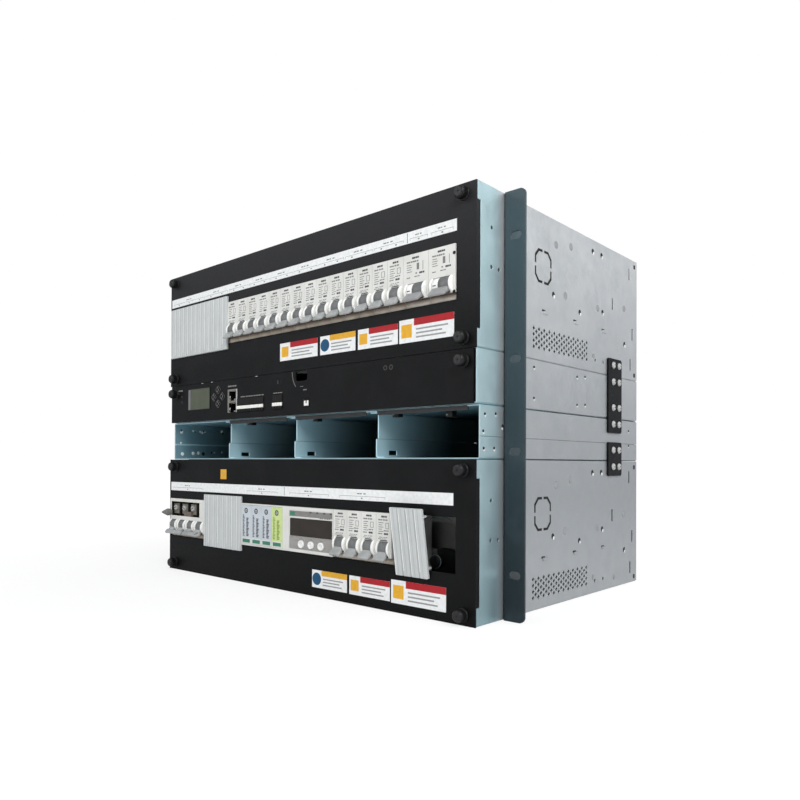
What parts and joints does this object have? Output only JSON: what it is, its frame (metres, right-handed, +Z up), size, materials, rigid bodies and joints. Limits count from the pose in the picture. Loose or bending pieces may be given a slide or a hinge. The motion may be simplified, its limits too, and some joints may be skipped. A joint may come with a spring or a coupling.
{
  "type": "rack power shelf",
  "caption": "Rack-mounted DC power shelf with breaker rows, a controller with a display, empty rectifier slots, ribbed blanking strips and side mounting ears.",
  "frame": {"origin": "middle of the underside, on the plane of the rack rails that the ears are bolted to", "axes": "+X to the right seen from the front, +Y towards the rear, +Z up"},
  "size_m": [0.4826, 0.3326, 0.3552],
  "materials": {
    "galvanised": "satin",
    "black_panel": "satin",
    "bright_steel": "polished",
    "black_screw": "satin",
    "white_plastic": "satin",
    "pale_plastic": "satin",
    "grey_plastic": "matte",
    "display_glass": "gloss",
    "circuit_board": "satin",
    "black_plastic": "satin",
    "green_plastic": "satin",
    "toggle_plastic": "satin"
  },
  "bodies": {
    "shelf": {"lower_chassis": "galvanised", "lower_front_panel": "black_panel", "upper_chassis": "galvanised", "upper_front_panel": "black_panel", "distribution_covers": "galvanised", "din_rails": "galvanised", "breaker_housings": "white_plastic", "wide_breaker_housings": "white_plastic", "input_breaker_housings": "white_plastic", "arrester_base": "white_plastic", "arrester_cartridges": "pale_plastic", "meter_housing": "white_plastic", "meter_display": "display_glass", "blanking_strips": "grey_plastic", "loose_blanking_strip": "grey_plastic", "controller_chassis": "galvanised", "controller_cover": "galvanised", "controller_front_panel": "black_panel", "controller_display": "display_glass", "controller_board": "circuit_board", "network_ports": "black_plastic", "terminal_blocks": "green_plastic", "shelf_chassis": "galvanised", "shelf_cover": "galvanised", "slot_dividers": "galvanised", "slot_connectors": "black_plastic", "right_ear": "black_panel", "left_ear": "black_panel", "joiner_plates": "black_panel", "side_screws": "bright_steel", "thumbscrews": "black_screw"},
    "branch_toggle_01": {"branch_toggle_01": "toggle_plastic"},
    "branch_toggle_02": {"branch_toggle_02": "toggle_plastic"},
    "branch_toggle_03": {"branch_toggle_03": "toggle_plastic"},
    "branch_toggle_04": {"branch_toggle_04": "toggle_plastic"},
    "branch_toggle_05": {"branch_toggle_05": "toggle_plastic"},
    "branch_toggle_06": {"branch_toggle_06": "toggle_plastic"},
    "branch_toggle_07": {"branch_toggle_07": "toggle_plastic"},
    "branch_toggle_08": {"branch_toggle_08": "toggle_plastic"},
    "branch_toggle_09": {"branch_toggle_09": "toggle_plastic"},
    "branch_toggle_10": {"branch_toggle_10": "toggle_plastic"},
    "branch_toggle_11": {"branch_toggle_11": "toggle_plastic"},
    "branch_toggle_12": {"branch_toggle_12": "toggle_plastic"},
    "branch_toggle_13": {"branch_toggle_13": "toggle_plastic"},
    "branch_toggle_14": {"branch_toggle_14": "toggle_plastic"},
    "wide_toggle_01": {"wide_toggle_01": "toggle_plastic"},
    "wide_toggle_02": {"wide_toggle_02": "toggle_plastic"},
    "outlet_toggle_01": {"outlet_toggle_01": "toggle_plastic"},
    "outlet_toggle_02": {"outlet_toggle_02": "toggle_plastic"},
    "outlet_toggle_03": {"outlet_toggle_03": "toggle_plastic"},
    "outlet_toggle_04": {"outlet_toggle_04": "toggle_plastic"},
    "input_handle_01": {"input_handle_01": "toggle_plastic"},
    "input_handle_02": {"input_handle_02": "toggle_plastic"},
    "meter_button_1": {"meter_button_1": "black_plastic"},
    "meter_button_2": {"meter_button_2": "black_plastic"},
    "meter_button_3": {"meter_button_3": "black_plastic"},
    "controller_button_left": {"controller_button_left": "grey_plastic"},
    "controller_button_right": {"controller_button_right": "grey_plastic"},
    "controller_button_down": {"controller_button_down": "grey_plastic"},
    "controller_button_up": {"controller_button_up": "grey_plastic"}
  },
  "joints": [
    {"name": "branch_toggle_01_hinge", "type": "hinge", "parent": "shelf", "child": "branch_toggle_01", "pos_m": [-0.095, -0.0375, 0.27642], "axis": [-1, 0, 0], "range_deg": [0, 76]},
    {"name": "branch_toggle_02_hinge", "type": "hinge", "parent": "shelf", "child": "branch_toggle_02", "pos_m": [-0.077, -0.0375, 0.27642], "axis": [-1, 0, 0], "range_deg": [0, 76]},
    {"name": "branch_toggle_03_hinge", "type": "hinge", "parent": "shelf", "child": "branch_toggle_03", "pos_m": [-0.059, -0.0375, 0.27642], "axis": [-1, 0, 0], "range_deg": [0, 76]},
    {"name": "branch_toggle_04_hinge", "type": "hinge", "parent": "shelf", "child": "branch_toggle_04", "pos_m": [-0.041, -0.0375, 0.27642], "axis": [-1, 0, 0], "range_deg": [0, 76]},
    {"name": "branch_toggle_05_hinge", "type": "hinge", "parent": "shelf", "child": "branch_toggle_05", "pos_m": [-0.023, -0.0375, 0.27642], "axis": [-1, 0, 0], "range_deg": [0, 76]},
    {"name": "branch_toggle_06_hinge", "type": "hinge", "parent": "shelf", "child": "branch_toggle_06", "pos_m": [-0.005, -0.0375, 0.27642], "axis": [-1, 0, 0], "range_deg": [0, 76]},
    {"name": "branch_toggle_07_hinge", "type": "hinge", "parent": "shelf", "child": "branch_toggle_07", "pos_m": [0.013, -0.0375, 0.27642], "axis": [-1, 0, 0], "range_deg": [0, 76]},
    {"name": "branch_toggle_08_hinge", "type": "hinge", "parent": "shelf", "child": "branch_toggle_08", "pos_m": [0.031, -0.0375, 0.27642], "axis": [-1, 0, 0], "range_deg": [0, 76]},
    {"name": "branch_toggle_09_hinge", "type": "hinge", "parent": "shelf", "child": "branch_toggle_09", "pos_m": [0.049, -0.0375, 0.27642], "axis": [-1, 0, 0], "range_deg": [0, 76]},
    {"name": "branch_toggle_10_hinge", "type": "hinge", "parent": "shelf", "child": "branch_toggle_10", "pos_m": [0.067, -0.0375, 0.27642], "axis": [-1, 0, 0], "range_deg": [0, 76]},
    {"name": "branch_toggle_11_hinge", "type": "hinge", "parent": "shelf", "child": "branch_toggle_11", "pos_m": [0.085, -0.0375, 0.27642], "axis": [-1, 0, 0], "range_deg": [0, 76]},
    {"name": "branch_toggle_12_hinge", "type": "hinge", "parent": "shelf", "child": "branch_toggle_12", "pos_m": [0.103, -0.0375, 0.27642], "axis": [-1, 0, 0], "range_deg": [0, 76]},
    {"name": "branch_toggle_13_hinge", "type": "hinge", "parent": "shelf", "child": "branch_toggle_13", "pos_m": [0.121, -0.0375, 0.27642], "axis": [-1, 0, 0], "range_deg": [0, 76]},
    {"name": "branch_toggle_14_hinge", "type": "hinge", "parent": "shelf", "child": "branch_toggle_14", "pos_m": [0.139, -0.0375, 0.27642], "axis": [-1, 0, 0], "range_deg": [0, 76]},
    {"name": "wide_toggle_01_hinge", "type": "hinge", "parent": "shelf", "child": "wide_toggle_01", "pos_m": [0.1615, -0.0375, 0.27642], "axis": [-1, 0, 0], "range_deg": [0, 76]},
    {"name": "wide_toggle_02_hinge", "type": "hinge", "parent": "shelf", "child": "wide_toggle_02", "pos_m": [0.1885, -0.0375, 0.27642], "axis": [-1, 0, 0], "range_deg": [0, 76]},
    {"name": "outlet_toggle_01_hinge", "type": "hinge", "parent": "shelf", "child": "outlet_toggle_01", "pos_m": [0.073, -0.0375, 0.05418], "axis": [-1, 0, 0], "range_deg": [0, 76]},
    {"name": "outlet_toggle_02_hinge", "type": "hinge", "parent": "shelf", "child": "outlet_toggle_02", "pos_m": [0.091, -0.0375, 0.05418], "axis": [-1, 0, 0], "range_deg": [0, 76]},
    {"name": "outlet_toggle_03_hinge", "type": "hinge", "parent": "shelf", "child": "outlet_toggle_03", "pos_m": [0.109, -0.0375, 0.05418], "axis": [-1, 0, 0], "range_deg": [0, 76]},
    {"name": "outlet_toggle_04_hinge", "type": "hinge", "parent": "shelf", "child": "outlet_toggle_04", "pos_m": [0.127, -0.0375, 0.05418], "axis": [-1, 0, 0], "range_deg": [0, 76]},
    {"name": "input_handle_01_hinge", "type": "hinge", "parent": "shelf", "child": "input_handle_01", "pos_m": [-0.2, -0.0375, 0.05418], "axis": [-1, 0, 0], "range_deg": [0, 76]},
    {"name": "input_handle_02_hinge", "type": "hinge", "parent": "shelf", "child": "input_handle_02", "pos_m": [-0.164, -0.0375, 0.05418], "axis": [-1, 0, 0], "range_deg": [0, 76]},
    {"name": "meter_button_1_press", "type": "slide", "parent": "shelf", "child": "meter_button_1", "axis": [0, 1, 0], "range_m": [0, 0.0012], "stiffness_N_per_m": 500},
    {"name": "meter_button_2_press", "type": "slide", "parent": "shelf", "child": "meter_button_2", "axis": [0, 1, 0], "range_m": [0, 0.0012], "stiffness_N_per_m": 500},
    {"name": "meter_button_3_press", "type": "slide", "parent": "shelf", "child": "meter_button_3", "axis": [0, 1, 0], "range_m": [0, 0.0012], "stiffness_N_per_m": 500},
    {"name": "controller_button_left_press", "type": "slide", "parent": "shelf", "child": "controller_button_left", "axis": [0, 1, 0], "range_m": [0, 0.001], "stiffness_N_per_m": 500},
    {"name": "controller_button_right_press", "type": "slide", "parent": "shelf", "child": "controller_button_right", "axis": [0, 1, 0], "range_m": [0, 0.001], "stiffness_N_per_m": 500},
    {"name": "controller_button_down_press", "type": "slide", "parent": "shelf", "child": "controller_button_down", "axis": [0, 1, 0], "range_m": [0, 0.001], "stiffness_N_per_m": 500},
    {"name": "controller_button_up_press", "type": "slide", "parent": "shelf", "child": "controller_button_up", "axis": [0, 1, 0], "range_m": [0, 0.001], "stiffness_N_per_m": 500}
  ]
}
